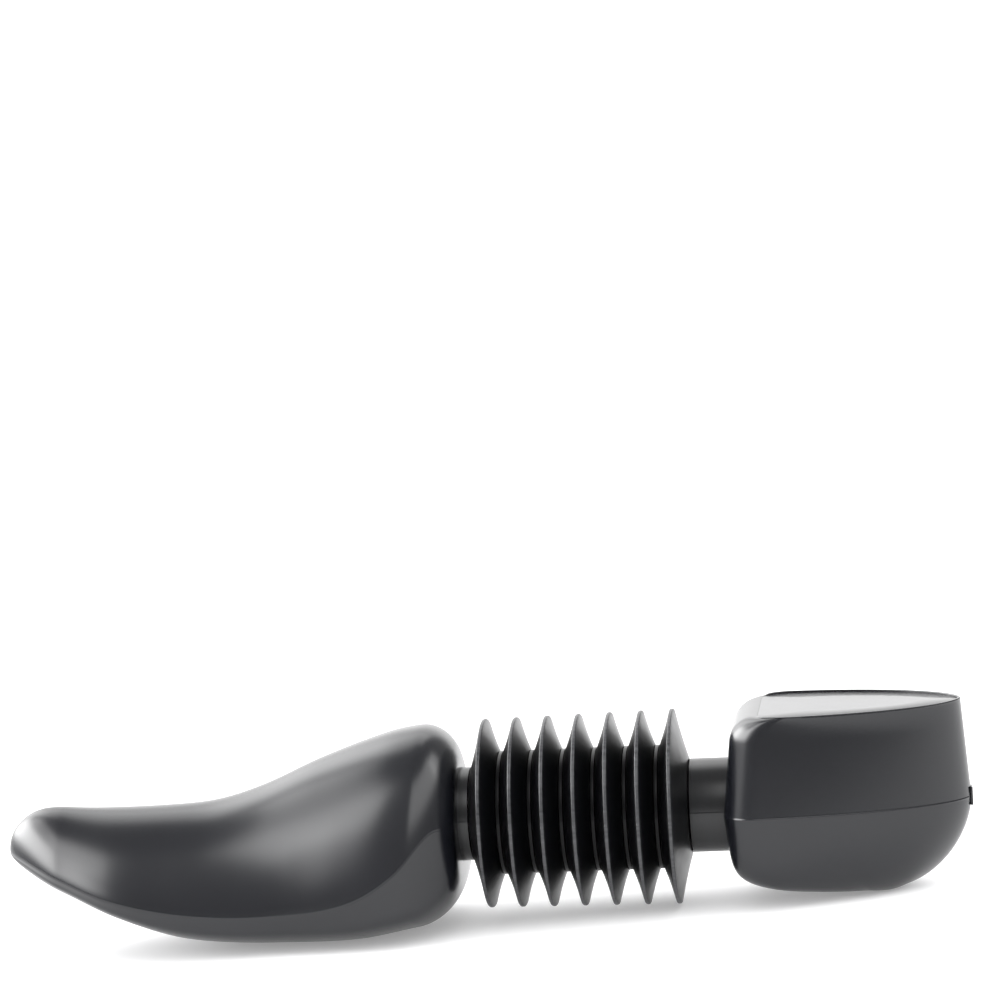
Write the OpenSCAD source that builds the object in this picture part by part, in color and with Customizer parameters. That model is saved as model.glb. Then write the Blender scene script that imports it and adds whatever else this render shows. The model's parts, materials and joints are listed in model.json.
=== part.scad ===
// A shoe stretcher: a hollow toe block and a hollow heel block, blow moulded in one with the
// springy bellows between them. It lies on its sole and on the corner under its heel.
// X runs along the shoe towards the heel, and Z points up from the surface that it lies on.
// The blocks are drawn in a frame of their own, with the bellows along X and the first crest
// at X = 0, and module laid() puts them down on the surface.

/* [Toe block] */
// Length from the tip to the flat rear face
toe_len = 140; // [100:1:170]
// Greatest width, over the ball of the foot
toe_w = 73; // [60:1:90]
// Height of the instep above the bellows axis
instep_up = 27.5; // [24:0.5:36]
// Height of the flat top of the toes above the bellows axis
toe_top_up = 6; // [3:0.5:12]
// Depth of the sole below the bellows axis
sole_down = 35.2; // [33:0.1:45]
// Crown of the sole, from its edge to its middle
sole_crown = 8.5; // [5:0.5:11]
// How much further in the edge of the sole is than the parting line
sole_draft_len = 1.2; // [0.5:0.1:3]
// How far the rear face's sides stand back behind its middle
face_curve_len = 3; // [0.5:0.1:4]
// Rounding of the rear face's edge
toe_corner_r = 12; // [6:0.5:14]
// Wall of both blocks
block_wall = 1.8; // [1.2:0.1:2.6]

/* [Heel block] */
// Length from the front face to the back
heel_len = 72.6; // [58:0.1:85]
// Greatest width, at the parting line
heel_w = 55; // [46:0.5:66]
// Height of the top plate above the bellows axis
heel_up = 29.5; // [26:0.5:36]
// Depth of the underside below the axis, behind the front face
heel_front_down = 21.8; // [20:0.1:26]
// Depth of the corner that the heel lies on
heel_back_down = 26.9; // [24:0.1:32]
// How much further back the front face is at its top than at the parting line
front_lean_len = 3.4; // [2:0.1:8]
// How much further in each side wall is at its top than at the parting line
side_draft_len = 2.6; // [1:0.1:5]
// How much further back the front face would be at its bottom
under_lean_len = 2; // [0.5:0.1:4]
// How much further in each side wall would be at its bottom
under_draft_len = 2.4; // [0.5:0.1:4]
// Rounding of the two front corners, seen from above
heel_corner_r = 9; // [5:0.5:12]
// Rounding from the front face into the top plate
brow_r = 7; // [4:0.5:10]
// Width of the lip round the top plate
lip_w = 0.9; // [0.6:0.1:1.2]
// Height of that lip over the plate, at the sides and the back
lip_step = 0.5; // [0.1:0.05:0.6]
// Thickness of the top plate
plate_t = 1.6; // [1.2:0.1:2.4]
// Width of the moulding gate's stub at the back
stub_w = 4.5; // [3:0.5:7]
// Height of the stub
stub_h = 5.5; // [4:0.5:8]
// Length of the stub
stub_len = 0.4; // [0.3:0.1:2]

/* [Bellows] */
// Distance from one crest to the next
crest_pitch = 9.4; // [8.6:0.1:11]
// Diameter over the crest next to the toe block
toe_crest_d = 56.6; // [50:0.2:58]
// Diameter over the crest next to the heel block
heel_crest_d = 58.2; // [52:0.2:59]
// Width of the flat rim on a crest
rim_w = 1.1; // [0.8:0.1:1.6]
// Depth of that rim, from its outside to its inside
rim_t = 1.5; // [1:0.1:2.2]
// Outer diameter of the roots between the crests
root_d = 37; // [34:0.5:42]
// Width of the band at the bottom of a root
root_w = 1.2; // [0.8:0.1:1.6]
// Wall of the roots and the folded flanks
fold_wall = 1.1; // [0.7:0.1:1.4]
// Running gap between a root band and the flanks that fold at it
fold_gap = 0.1; // [0.05:0.05:0.2]

/* [Necks] */
// Outer diameter of both necks
neck_d = 28; // [24:0.5:32]
// Wall of both necks
neck_wall = 1.8; // [1.2:0.1:2.6]
// Visible length of the neck on the toe block
toe_neck_len = 3.2; // [2:0.2:8]
// Visible length of the neck on the heel block
heel_neck_len = 10.5; // [8:0.1:18]
// Gap round a neck where it seats in its block
seat_gap = 0.05; // [0.02:0.01:0.1]

/* [Hidden] */

// Colours of the moulded blocks, the necks and the stretched bellows
block_colour = [0.19, 0.19, 0.21];
neck_colour = [0.14, 0.14, 0.15];
fold_colour = [0.10, 0.10, 0.11];

crests = 7;
crest_r0 = toe_crest_d / 2;
crest_r_step = (heel_crest_d - toe_crest_d) / 2 / (crests - 1);
root_r = root_d / 2;
neck_r = neck_d / 2;
// The end flanks run down to the necks, half a pitch from their crests
toe_face_x = -crest_pitch / 2 - toe_neck_len;
last_x = (crests - 1) * crest_pitch;
heel_face_x = last_x + crest_pitch / 2 + heel_neck_len;
toe_tip_x = toe_face_x - toe_len;
heel_back_x = heel_face_x + heel_len;

// Steps along the toe block, across half its section, and along and under the heel block
toe_steps = 34;
half_steps = 10;
side_steps = 12;
bowl_steps = 9;
round_fn = 96;
// Share of the toe block's stations that lie ahead of its rear rounding
long_share = 0.82;
// Flat left at the very tip of the toe block, and the least height of a section there
tip_blunt = 0.15;
thin = 0.5;
// Part of a lower section, from the parting line, that is side wall and not sole
edge_v = 0.3;

// Lines along the toe block: [share of its length from the rear face, share of a height]
top_line = [[0, 1], [0.07, 1], [0.15, 0.92], [0.3, 0.6], [0.43, 0.25], [0.53, 0.065],
            [0.62, 0.01], [0.78, 0], [0.88, 0.04], [0.94, 0.11], [1, 0.15]];
sole_line = [[0, 0.84], [0.1, 0.9], [0.22, 0.98], [0.38, 1], [0.52, 0.98], [0.62, 0.92],
             [0.74, 0.75], [0.85, 0.56], [0.95, 0.4], [1, 0.34]];
seam_line = [[0, 0], [0.035, 0], [0.1, 0.29], [0.19, 0.51], [0.29, 0.62], [0.4, 0.66],
             [0.5, 0.665], [0.63, 0.615], [0.76, 0.5], [0.87, 0.345], [0.95, 0.225], [1, 0.17]];
plan_line = [[0, 1], [0.1, 1], [0.16, 0.985], [0.24, 0.94], [0.35, 0.865], [0.45, 0.825],
             [0.62, 0.77], [0.75, 0.69], [0.87, 0.49], [1, 0.25]];
// Where the sides are widest at the parting line and where the tip starts to round, as shares of
// the length
belly_share = 0.35;
tip_share = 0.13;
// The heel block's corner under the back, the draft of its back wall, and the plate's ledge
heel_mid_x = heel_face_x + 0.62 * heel_len;
back_draft_len = 2;
ledge_w = 1.2;
// How far the neck reaches into the heel block, past its leaning front face
neck_seat_len = front_lean_len * neck_r / heel_up + 2 * block_wall;
// How far the cut for the neck runs on inside the toe block
seat_over = 1;
// Height of the plate's face, and the stretch over which its lip rises behind the brow
plate_z = heel_up - lip_step;
lip_rise_len = 2.5;
// Chamfer on both edges of a rim
rim_edge = 0.2;

function mix(a, b, t) = a + (b - a) * t;
function clamp01(t) = min(max(t, 0), 1);
function ease(t) = let (c = clamp01(t)) c * c * (3 - 2 * c);

// A smooth curve through a few points, read at x
function steep(p, i) =
    let (a = max(i - 1, 0), b = min(i + 1, len(p) - 1))
    (p[b][1] - p[a][1]) / (p[b][0] - p[a][0]);
function span_at(p, x, i = 0) = (i >= len(p) - 2 || x <= p[i + 1][0]) ? i : span_at(p, x, i + 1);
function curve(p, x) =
    let (i = span_at(p, x), h = p[i + 1][0] - p[i][0], t = clamp01((x - p[i][0]) / h))
    let (s = t * t, c = t * s)
    (2 * c - 3 * s + 1) * p[i][1] + (c - 2 * s + t) * h * steep(p, i)
    + (3 * s - 2 * c) * p[i + 1][1] + (c - s) * h * steep(p, i + 1);

// The toe block at u, the share of its length from the rear face
function tip_round(u) = let (t = clamp01((1 - u) / tip_share)) sqrt(t * (2 - t));
function toe_half_w(u) = toe_w / 2 * curve(plan_line, u) * tip_round(u);
function toe_seam_z(u) = -sole_down * curve(seam_line, u);
function toe_base_z(u) = min(toe_seam_z(u), toe_seam_z(max(u, belly_share)));
function toe_top_z(u) =
    let (s = toe_seam_z(u), t = mix(toe_top_up, instep_up, curve(top_line, u)))
    s + (t - s) * tip_round(u);
function toe_low_z(u) =
    let (s = toe_seam_z(u), t = -sole_down * curve(sole_line, u))
    s + (t - s) * tip_round(u);

// Roundness of the upper section, across and upwards: full at the instep, flatter at the toes
function arch_y(u) = mix(2.3, 2, ease((u - 0.05) / 0.4));
function arch_z(u) = mix(1.75, 1.4, ease((u - 0.05) / 0.4));

// Where a point of the block stands once its rear face is curved back at the sides
function stood_back(x, y) =
    let (side = clamp01((abs(y) - neck_r) / (toe_w / 2 - neck_r)))
    x - face_curve_len * side * side * (1 - ease((toe_face_x - x) / (0.4 * toe_len)));

// One point of the section at x, drawn in by d: v runs from -1, on the sole's middle, past 0,
// on the parting line, to 1, on the ridge
function toe_point(x, d, v, side) =
    let (p = section_point(x, d, v)) [stood_back(x, p[0]), side * p[0], p[1]];
function section_point(x, d, v) =
    let (u = (toe_face_x - x) / toe_len, w = max(toe_half_w(u) - d, thin))
    let (s = toe_seam_z(u), b = toe_base_z(u), up = max(toe_top_z(u) - d - b, thin))
    let (start = asin(pow(clamp01((s - b) / up), arch_z(u) / 2)))
    v >= 0
        ? let (a = mix(start, 90, v))
          [w * pow(cos(a), 2 / arch_y(u)), b + up * pow(sin(a), 2 / arch_z(u))]
        : sole_point(u, -v, w * pow(cos(start), 2 / arch_y(u)), s,
                     max(s - toe_low_z(u) - d, thin));
function sole_point(u, v, w, s, down) =
    let (crown = min(sole_crown * tip_round(u), down * 0.7), wall = down - crown)
    let (draft = sole_draft_len * tip_round(u), e = (v - edge_v) / (1 - edge_v) * 90)
    v < edge_v
        ? [w - draft * v / edge_v, s - wall * v / edge_v]
        : [(w - draft) * cos(e), s - wall - crown * sin(e)];

// Stations [x, inset] from the tip to the rear face of a skin that lies d inside the outside
function toe_stations(d) =
    [for (i = [0 : toe_steps])
        let (t = i / toe_steps, bend = (t - long_share) / (1 - long_share) * 90)
        t < long_share
            ? [mix(toe_tip_x + d + tip_blunt, toe_face_x - d - toe_corner_r,
                   pow(t / long_share, 1.5)), d]
            : [toe_face_x - d - toe_corner_r * (1 - sin(bend)),
               d + toe_corner_r * (1 - cos(bend))]];

// Rows of points from one side of the parting line, over v = way, to the other side
function toe_grid(d, way) =
    [for (p = toe_stations(d))
        [for (k = [-half_steps : half_steps])
            toe_point(p[0], p[1], way * (1 - abs(k) / half_steps), k < 0 ? 1 : -1)]];

// Triangles between the rows of a grid, turned over when flip is true
function tri(a, b, c, flip) = flip ? [a, c, b] : [a, b, c];
function quad(a, b, c, e, flip) = [tri(a, b, c, flip), tri(a, c, e, flip)];
function strip(a, b, flip) =
    [for (k = [0 : len(a) - 2]) each quad(a[k], a[k + 1], b[k + 1], b[k], flip)];
function fan(ids, flip) =
    let (n = len(ids), m = floor(n / 2))
    [for (k = [0 : n - 1]) if (k != m && k != m - 1) tri(ids[m], ids[k], ids[(k + 1) % n], flip)];
function row_ids(i, cols, at) = [for (k = [0 : cols - 1]) at + i * cols + k];
function col_ids(k, rows, cols, at) = [for (i = [0 : rows - 1]) at + i * cols + k];
function sheet(rows, cols, at, flip) =
    [for (i = [0 : rows - 2])
        each strip(row_ids(i, cols, at), row_ids(i + 1, cols, at), flip)];

// A shell between two skins that are open at the parting line and closed at both ends
module half_shell(outer, inner, flip) {
    rows = len(outer);
    cols = len(outer[0]);
    n = rows * cols;
    near_o = col_ids(0, rows, cols, 0);
    near_i = col_ids(0, rows, cols, n);
    far_o = col_ids(cols - 1, rows, cols, 0);
    far_i = col_ids(cols - 1, rows, cols, n);
    faces = concat(
        sheet(rows, cols, 0, flip),
        sheet(rows, cols, n, !flip),
        strip(near_o, near_i, flip),
        strip(far_o, far_i, !flip),
        fan(row_ids(0, cols, 0), !flip),
        fan(row_ids(0, cols, n), flip),
        fan(row_ids(rows - 1, cols, 0), flip),
        fan(row_ids(rows - 1, cols, n), !flip),
        quad(near_o[0], near_i[0], far_i[0], far_o[0], flip),
        quad(near_o[rows - 1], near_i[rows - 1], far_i[rows - 1], far_o[rows - 1], !flip));
    polyhedron(points = concat([for (r = outer) each r], [for (r = inner) each r]),
               faces = faces, convexity = 8);
}

// The heel block seen from above: a loop from the middle of the front, round the -Y side,
// past the back, and home along the +Y side
function plan_half_w(s) = pow(1 - pow(clamp01(s), 2.2), 1 / 1.8);
function plan_quarter(front, back, w, r) =
    let (s0 = r / (back - front))
    concat(
        [[front, 0], [front, w - r]],
        [for (a = [30, 60]) [front + r * (1 - cos(a)), w * plan_half_w(s0) - r * (1 - sin(a))]],
        [for (j = [0 : side_steps])
            let (s = mix(s0, 1, sin(90 * j / side_steps)))
            [mix(front, back, s), w * plan_half_w(s)]]);
function plan_loop(front, back, w, r) =
    let (q = plan_quarter(front, back, w, r), n = len(q) - 1)
    concat([for (p = q) [p[0], -p[1]]], [for (j = [n - 1 : -1 : 1]) q[j]]);
function lift(loop, z) = [for (p = loop) [p[0], p[1], z]];

// Loop of the upper walls at height z, drawn in by d
function brow_x(z) =
    let (rise = clamp01((z - plate_z + brow_r) / brow_r))
    front_lean_len * z / heel_up + brow_r * (1 - sqrt(1 - rise * rise));
function upper_loop(z, d) =
    plan_loop(heel_face_x + brow_x(z) + d, heel_back_x - back_draft_len * z / heel_up - d,
              heel_w / 2 - side_draft_len * z / heel_up - d, heel_corner_r - d / 2);
// The top edge drawn in by d, level with the plate at the brow and raised behind it
function lip_loop(d) =
    [for (p = upper_loop(plate_z, d))
        [p[0], p[1], plate_z + lip_step * ease((p[0] - heel_face_x - brow_x(plate_z)) / lip_rise_len)]];

// Point of the lower walls under loop point p, at angle a down from the parting line
function under_z(x, d) =
    d - mix(heel_front_down, heel_back_down, (x - heel_face_x) / (heel_mid_x - heel_face_x));
function under_round(x) =
    let (s = (x - heel_face_x) / heel_len)
    s < 0.5 ? mix(7, 3, ease(s / 0.5)) : mix(3, 1.7, ease((s - 0.5) / 0.5));
function under_point(p, a, d) =
    let (e = 2 / under_round(p[0]), c = pow(cos(a), e), k = pow(sin(a), e))
    let (x = mix(heel_mid_x, p[0], c), front = clamp01(1 - 2 * (p[0] - heel_face_x) / heel_len))
    [x + under_lean_len * k * c * front, p[1] * c * (1 - under_draft_len * k / (heel_w / 2)),
     under_z(x, d) * k];
function under_rows(d) =
    let (loop = plan_loop(heel_face_x + d, heel_back_x - d, heel_w / 2 - d, heel_corner_r - d / 2))
    [for (i = [0 : bowl_steps - 1]) [for (p = loop) under_point(p, 90 * i / bowl_steps, d)]];

// Closed loops joined one to the next, from the first to the last and back to the first
function ring_faces(rows, n, wrap) =
    [for (i = [0 : rows - (wrap ? 1 : 2)])
        let (a = i * n, b = ((i + 1) % rows) * n)
        each [for (k = [0 : n - 1])
            let (m = (k + 1) % n)
            each quad(a + k, a + m, b + m, b + k, false)]];

module wall_ring(loops) {
    polyhedron(points = [for (l = loops) each l],
               faces = ring_faces(len(loops), len(loops[0]), true), convexity = 8);
}

// Where the part rests: its lowest points, and the tilt that brings both down to one surface
toe_out = concat(toe_grid(0, 1), toe_grid(0, -1));
heel_out = under_rows(0);
function low_of(rows, tilt) =
    min([for (r = rows) each [for (p = r) p[2] * cos(tilt) - p[0] * sin(tilt)]]);
function settled(tilt, n) =
    n == 0 ? tilt
    : let (miss = low_of(toe_out, tilt) - low_of(heel_out, tilt))
      settled(tilt - asin(miss / (heel_mid_x - toe_face_x + toe_len / 2)), n - 1);
lie = settled(2, 5);
rest_z = low_of(toe_out, lie);
front_x = min([for (r = toe_out) each [for (p = r) p[0] * cos(lie) + p[2] * sin(lie)]]);
rear_x = (heel_back_x + stub_len) * cos(lie) + stub_h / 2 * sin(lie);

module laid() {
    translate([-(front_x + rear_x) / 2, 0, -rest_z]) rotate([0, lie, 0]) children();
}

// A tube or cone along X, given as [x, radius] points
module turned(profile) {
    rotate([0, 90, 0]) rotate_extrude($fn = round_fn) polygon([for (p = profile) [p[1], p[0]]]);
}
module neck_seat() {
    from = toe_face_x - block_wall - seat_over;
    to = heel_face_x + neck_seat_len;
    r = neck_r + seat_gap;
    turned([[from, 0], [from, r], [to, r], [to, 0]]);
}

module toe_upper_shell() {
    color(block_colour) laid() difference() {
        half_shell(toe_grid(0, 1), toe_grid(block_wall, 1), true);
        neck_seat();
    }
}
module toe_sole_shell() {
    color(block_colour) laid() difference() {
        half_shell(toe_grid(0, -1), toe_grid(block_wall, -1), false);
        neck_seat();
    }
}

module neck(from, to) {
    color(neck_colour) laid()
    turned([[from, neck_r - neck_wall], [from, neck_r], [to, neck_r], [to, neck_r - neck_wall]]);
}
module toe_neck() {
    neck(toe_face_x - block_wall, -crest_pitch / 2 - fold_gap);
}
module heel_neck() {
    neck(last_x + crest_pitch / 2 + fold_gap, heel_face_x + neck_seat_len);
}

function crest_x(i) = (i - 1) * crest_pitch;
function crest_r(i) = crest_r0 + (i - 1) * crest_r_step;

module crest(i) {
    x = rim_w / 2;
    r = crest_r(i);
    color(fold_colour) laid() translate([crest_x(i), 0, 0])
    turned([[-x, r - rim_t], [-x, r - rim_edge], [rim_edge - x, r],
            [x - rim_edge, r], [x, r - rim_edge], [x, r - rim_t]]);
}

// A folded flank from the radius low_r up to the rim of crest i: side is -1 towards the toe
module flank(i, side, low_r, band) {
    foot = crest_pitch / 2 - band - fold_gap;
    top = rim_w / 2;
    r = crest_r(i) - rim_edge;
    color(fold_colour) laid() translate([crest_x(i), 0, 0]) mirror([side < 0 ? 1 : 0, 0, 0])
    turned([[top, r], [foot, low_r], [foot, low_r - fold_wall], [top, r - rim_t + rim_edge]]);
}
module toe_flank(i) {
    flank(i, -1, i == 1 ? neck_r : root_r, i == 1 ? 0 : root_w / 2);
}
module heel_flank(i) {
    flank(i, 1, i == crests ? neck_r : root_r, i == crests ? 0 : root_w / 2);
}

module root(i) {
    x = root_w / 2;
    color(fold_colour) laid() translate([crest_x(i) + crest_pitch / 2, 0, 0])
    turned([[-x, root_r - fold_wall], [-x, root_r], [x, root_r], [x, root_r - fold_wall]]);
}

module heel_upper_shell() {
    ledge_z = plate_z - plate_t;
    middle_z = heel_up * 0.4;
    heights = concat([0, middle_z], [for (a = [0, 30, 55, 75]) plate_z - brow_r * (1 - sin(a))]);
    outer = [for (z = heights) lift(upper_loop(z, 0), z)];
    rim = [lip_loop(0), lip_loop(lip_w), lift(upper_loop(plate_z, lip_w), ledge_z),
           lift(upper_loop(plate_z, lip_w + ledge_w), ledge_z)];
    inner = [for (z = [plate_z - brow_r, middle_z, 0]) lift(upper_loop(z, block_wall), z)];
    color(block_colour) laid() difference() {
        wall_ring(concat(outer, rim, inner));
        neck_seat();
    }
}

module heel_lower_shell() {
    outer = under_rows(0);
    inner = under_rows(block_wall);
    n = len(outer[0]);
    rows = len(outer);
    points = concat([for (i = [rows - 1 : -1 : 0]) each outer[i]], [for (r = inner) each r],
                    [[heel_mid_x, 0, under_z(heel_mid_x, 0)],
                     [heel_mid_x, 0, under_z(heel_mid_x, block_wall)]]);
    pole = 2 * rows * n;
    last = (2 * rows - 1) * n;
    faces = concat(
        ring_faces(2 * rows, n, false),
        [for (k = [0 : n - 1]) [pole, (k + 1) % n, k]],
        [for (k = [0 : n - 1]) [pole + 1, last + k, last + (k + 1) % n]]);
    color(block_colour) laid() difference() {
        polyhedron(points = points, faces = faces, convexity = 8);
        neck_seat();
    }
}

module heel_top_plate() {
    color(block_colour) laid() translate([0, 0, plate_z - plate_t])
    linear_extrude(plate_t) polygon(upper_loop(plate_z, lip_w + seat_gap));
}

module gate_stub() {
    color(block_colour) laid() translate([heel_back_x, -stub_w / 2, -stub_h / 2])
    cube([stub_len, stub_w, stub_h]);
}

toe_upper_shell();
toe_sole_shell();
toe_neck();
crest(1);  // crest_1
crest(2);  // crest_2
crest(3);  // crest_3
crest(4);  // crest_4
crest(5);  // crest_5
crest(6);  // crest_6
crest(7);  // crest_7
toe_flank(1);  // toe_flank_1
toe_flank(2);  // toe_flank_2
toe_flank(3);  // toe_flank_3
toe_flank(4);  // toe_flank_4
toe_flank(5);  // toe_flank_5
toe_flank(6);  // toe_flank_6
toe_flank(7);  // toe_flank_7
heel_flank(1);  // heel_flank_1
heel_flank(2);  // heel_flank_2
heel_flank(3);  // heel_flank_3
heel_flank(4);  // heel_flank_4
heel_flank(5);  // heel_flank_5
heel_flank(6);  // heel_flank_6
heel_flank(7);  // heel_flank_7
root(1);  // root_1
root(2);  // root_2
root(3);  // root_3
root(4);  // root_4
root(5);  // root_5
root(6);  // root_6
heel_neck();
heel_upper_shell();
heel_lower_shell();
heel_top_plate();
gate_stub();
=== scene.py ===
"""A sprung shoe stretcher on a pale floor: a foot-shaped toe block, a round bellows and a
flat-topped heel block.

Lengths are in metres. The blocks and the bellows are worked out in the mould's own frame, with the
bellows along X and the middle of the first crest at the origin, and laid_down() brings them to the
place that the frame gives them.
"""

import json
from math import asin, cos, pi, radians, sin

import bmesh
import bpy
import numpy as np
from mathutils import Matrix, Vector


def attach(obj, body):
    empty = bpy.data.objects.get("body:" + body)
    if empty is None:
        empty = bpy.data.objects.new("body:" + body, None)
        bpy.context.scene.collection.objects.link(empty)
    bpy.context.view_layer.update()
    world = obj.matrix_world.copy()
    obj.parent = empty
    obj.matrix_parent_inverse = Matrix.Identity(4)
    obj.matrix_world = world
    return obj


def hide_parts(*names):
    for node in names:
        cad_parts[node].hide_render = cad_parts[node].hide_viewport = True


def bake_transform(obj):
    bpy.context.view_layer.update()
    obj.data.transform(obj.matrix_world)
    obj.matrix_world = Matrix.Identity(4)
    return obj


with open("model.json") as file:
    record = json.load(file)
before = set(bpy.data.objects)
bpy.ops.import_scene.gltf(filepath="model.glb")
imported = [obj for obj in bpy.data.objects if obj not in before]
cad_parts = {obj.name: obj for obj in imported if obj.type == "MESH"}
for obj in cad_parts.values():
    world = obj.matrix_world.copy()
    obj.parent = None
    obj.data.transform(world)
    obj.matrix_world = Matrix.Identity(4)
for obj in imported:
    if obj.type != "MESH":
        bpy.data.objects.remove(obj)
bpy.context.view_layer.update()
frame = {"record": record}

MM = 0.001

# The frame: where the bellows' axis lies, and how far apart its crests are
JOINTS = {joint["name"]: joint for joint in frame["record"]["behaviour"]["joints"]}


def pivot(name):
    return Vector(JOINTS[name]["pos_m"])


ALONG = Vector(JOINTS["squeeze_1"]["axis"]).normalized()
ACROSS = Vector((0, 1, 0))
RISING = ALONG.cross(ACROSS)
FOLDS = 7
PITCH = (pivot("pitch_7") - pivot("pitch_1")).length / (FOLDS - 1)
FIRST_CREST = pivot("pitch_1") - ALONG * PITCH / 4

# Bellows and necks
TOE_CREST_R = 28.3 * MM
HEEL_CREST_R = 29.1 * MM
RIM_W = 1.1 * MM
RIM_T = 1.5 * MM
RIM_EDGE = 0.35 * MM
ROOT_R = 18.5 * MM
ROOT_W = 1.2 * MM
ROOT_EDGE = 0.2 * MM
FOLD_WALL = 1.1 * MM
FOLD_GAP = 0.1 * MM
# A fold's wall ends this far under its rim, and bows this much away from the crest's middle
FOLD_TUCK = 0.2 * MM
FOLD_BOW = -0.18 * MM
NECK_R = 14.0 * MM
NECK_WALL = 1.8 * MM
NECK_EDGE = 0.15 * MM
TOE_NECK_LEN = 3.2 * MM
HEEL_NECK_LEN = 10.5 * MM
SEAT_GAP = 0.05 * MM
ROOT_FACETS = 384
FOLD_FACETS = 512
RIM_FACETS = 640

# Toe block. Its lines run from the rear face (0) to the tip (1): the ridge and the sole's middle as
# shares of their reach, the parting line's fall, and the half width seen from above.
TOE_LEN = 140 * MM
TOE_W = 73 * MM
INSTEP_UP = 27.5 * MM
TOE_TOP_UP = 6 * MM
SOLE_DOWN = 35.2 * MM
SOLE_CROWN = 8.5 * MM
SOLE_DRAFT = 1.2 * MM
TOE_CORNER_R = 12 * MM
FACE_CURVE = 3 * MM
FACE_RUN = 0.4
WALL = 1.8 * MM
TOP_LINE = ((0, 1), (0.07, 1), (0.15, 0.92), (0.3, 0.6), (0.43, 0.25), (0.53, 0.065),
            (0.62, 0.01), (0.78, 0), (0.88, 0.04), (0.94, 0.11), (1, 0.15))
SOLE_LINE = ((0, 0.84), (0.1, 0.9), (0.22, 0.98), (0.38, 1), (0.52, 0.98), (0.62, 0.92),
             (0.74, 0.75), (0.85, 0.56), (0.95, 0.4), (1, 0.34))
SEAM_LINE = ((0, 0), (0.035, 0), (0.1, 0.29), (0.19, 0.51), (0.29, 0.62), (0.4, 0.66),
             (0.5, 0.665), (0.63, 0.615), (0.76, 0.5), (0.87, 0.345), (0.95, 0.225), (1, 0.17))
PLAN_LINE = ((0, 1), (0.1, 1), (0.16, 0.985), (0.24, 0.94), (0.35, 0.865), (0.45, 0.825),
             (0.62, 0.77), (0.75, 0.69), (0.87, 0.49), (1, 0.25))
BELLY_SHARE = 0.35
# Powers of the sections' arch at the rear face and further on, and where they change
ARCH_Y = (2.3, 2)
ARCH_Z = (1.75, 1.4)
ARCH_FROM = 0.05
ARCH_RUN = 0.4
TIP_SHARE = 0.13
TIP_BLUNT = 0.02 * MM
# The sole's wall takes this share of the points below the parting line
EDGE_V = 0.3
THIN = 0.5 * MM

# Heel block
HEEL_LEN = 72.6 * MM
HEEL_W = 55 * MM
HEEL_UP = 29.5 * MM
HEEL_FRONT_DOWN = 21.8 * MM
HEEL_BACK_DOWN = 26.9 * MM
FRONT_LEAN = 3.4 * MM
SIDE_DRAFT = 2.6 * MM
BACK_DRAFT = 2 * MM
UNDER_LEAN = 2 * MM
UNDER_DRAFT = 2.4 * MM
HEEL_CORNER_R = 9 * MM
BROW_R = 7 * MM
LIP_W = 0.9 * MM
LIP_STEP = 0.5 * MM
LIP_ROUND = 0.3 * MM
LIP_FROM = 0.5 * MM
LIP_RUN = 2.5 * MM
PLATE_T = 1.6 * MM
LEDGE_W = 1.2 * MM
STUB_W = 4.5 * MM
STUB_H = 5.5 * MM
STUB_LEN = 0.4 * MM
STUB_SUNK = 0.4 * MM
STUB_WORN = 0.25 * MM
# Powers of the curve seen from above, and of the rounding below at the front, middle and back
PLAN_POWERS = (2.2, 1.8)
UNDER_POWERS = (7, 3, 1.7)
HEEL_LOW_SHARE = 0.62
PLATE_Z = HEEL_UP - LIP_STEP

# Places along the bellows' axis
LAST_CREST_X = (FOLDS - 1) * PITCH
TOE_FACE_X = -PITCH / 2 - TOE_NECK_LEN
TOE_TIP_X = TOE_FACE_X - TOE_LEN
HEEL_FACE_X = LAST_CREST_X + PITCH / 2 + HEEL_NECK_LEN
HEEL_BACK_X = HEEL_FACE_X + HEEL_LEN
HEEL_MID_X = HEEL_FACE_X + HEEL_LOW_SHARE * HEEL_LEN

# The parting line: a fine groove round the toe block, a fine bead round the heel block
GROOVE_H = -0.07 * MM
BEAD_H = 0.1 * MM
RIM_BEAD_H = 0.16 * MM
BEAD_HALF_W = 0.35 * MM
# Distances from the parting line at which the skins have points
SEAM_STEPS = np.array((0, 0.1, 0.2, 0.3, 0.45, 0.8)) * MM

# Edges that turn by more than this many degrees are shaded as sharp
SHARP_DEG = 35
SHARP_DEG_ROUND = 50


# Shapes in numbers

def mix(a, b, t):
    return a + (b - a) * t


def share(t):
    return np.clip(t, 0, 1)


def ease(t):
    c = share(t)
    return c * c * (3 - 2 * c)


def curve(points, x):
    """A smooth line through a few points, read at each x."""
    px, py = np.array(points, float).T
    slope = np.empty(len(px))
    slope[1:-1] = (py[2:] - py[:-2]) / (px[2:] - px[:-2])
    slope[0] = (py[1] - py[0]) / (px[1] - px[0])
    slope[-1] = (py[-1] - py[-2]) / (px[-1] - px[-2])
    i = np.clip(np.searchsorted(px, x, side="left") - 1, 0, len(px) - 2)
    h = px[i + 1] - px[i]
    t = share((x - px[i]) / h)
    s, c = t * t, t * t * t
    return ((2 * c - 3 * s + 1) * py[i] + (c - 2 * s + t) * h * slope[i]
            + (3 * s - 2 * c) * py[i + 1] + (c - s) * h * slope[i + 1])


def laid_down(points):
    """Points of the mould's frame, brought to their place on the floor."""
    turn = np.array([ALONG, ACROSS, RISING])
    return np.asarray(points) @ turn + np.array(FIRST_CREST)


def unit(rows):
    return rows / np.maximum(np.linalg.norm(rows, axis=-1, keepdims=True), 1e-12)


def towards(azimuth, elevation):
    """A direction in degrees: azimuth from -Y towards +X, and elevation."""
    az, el = radians(azimuth), radians(elevation)
    return Vector((sin(az) * cos(el), -cos(az) * cos(el), sin(el)))


# Meshes

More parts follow.
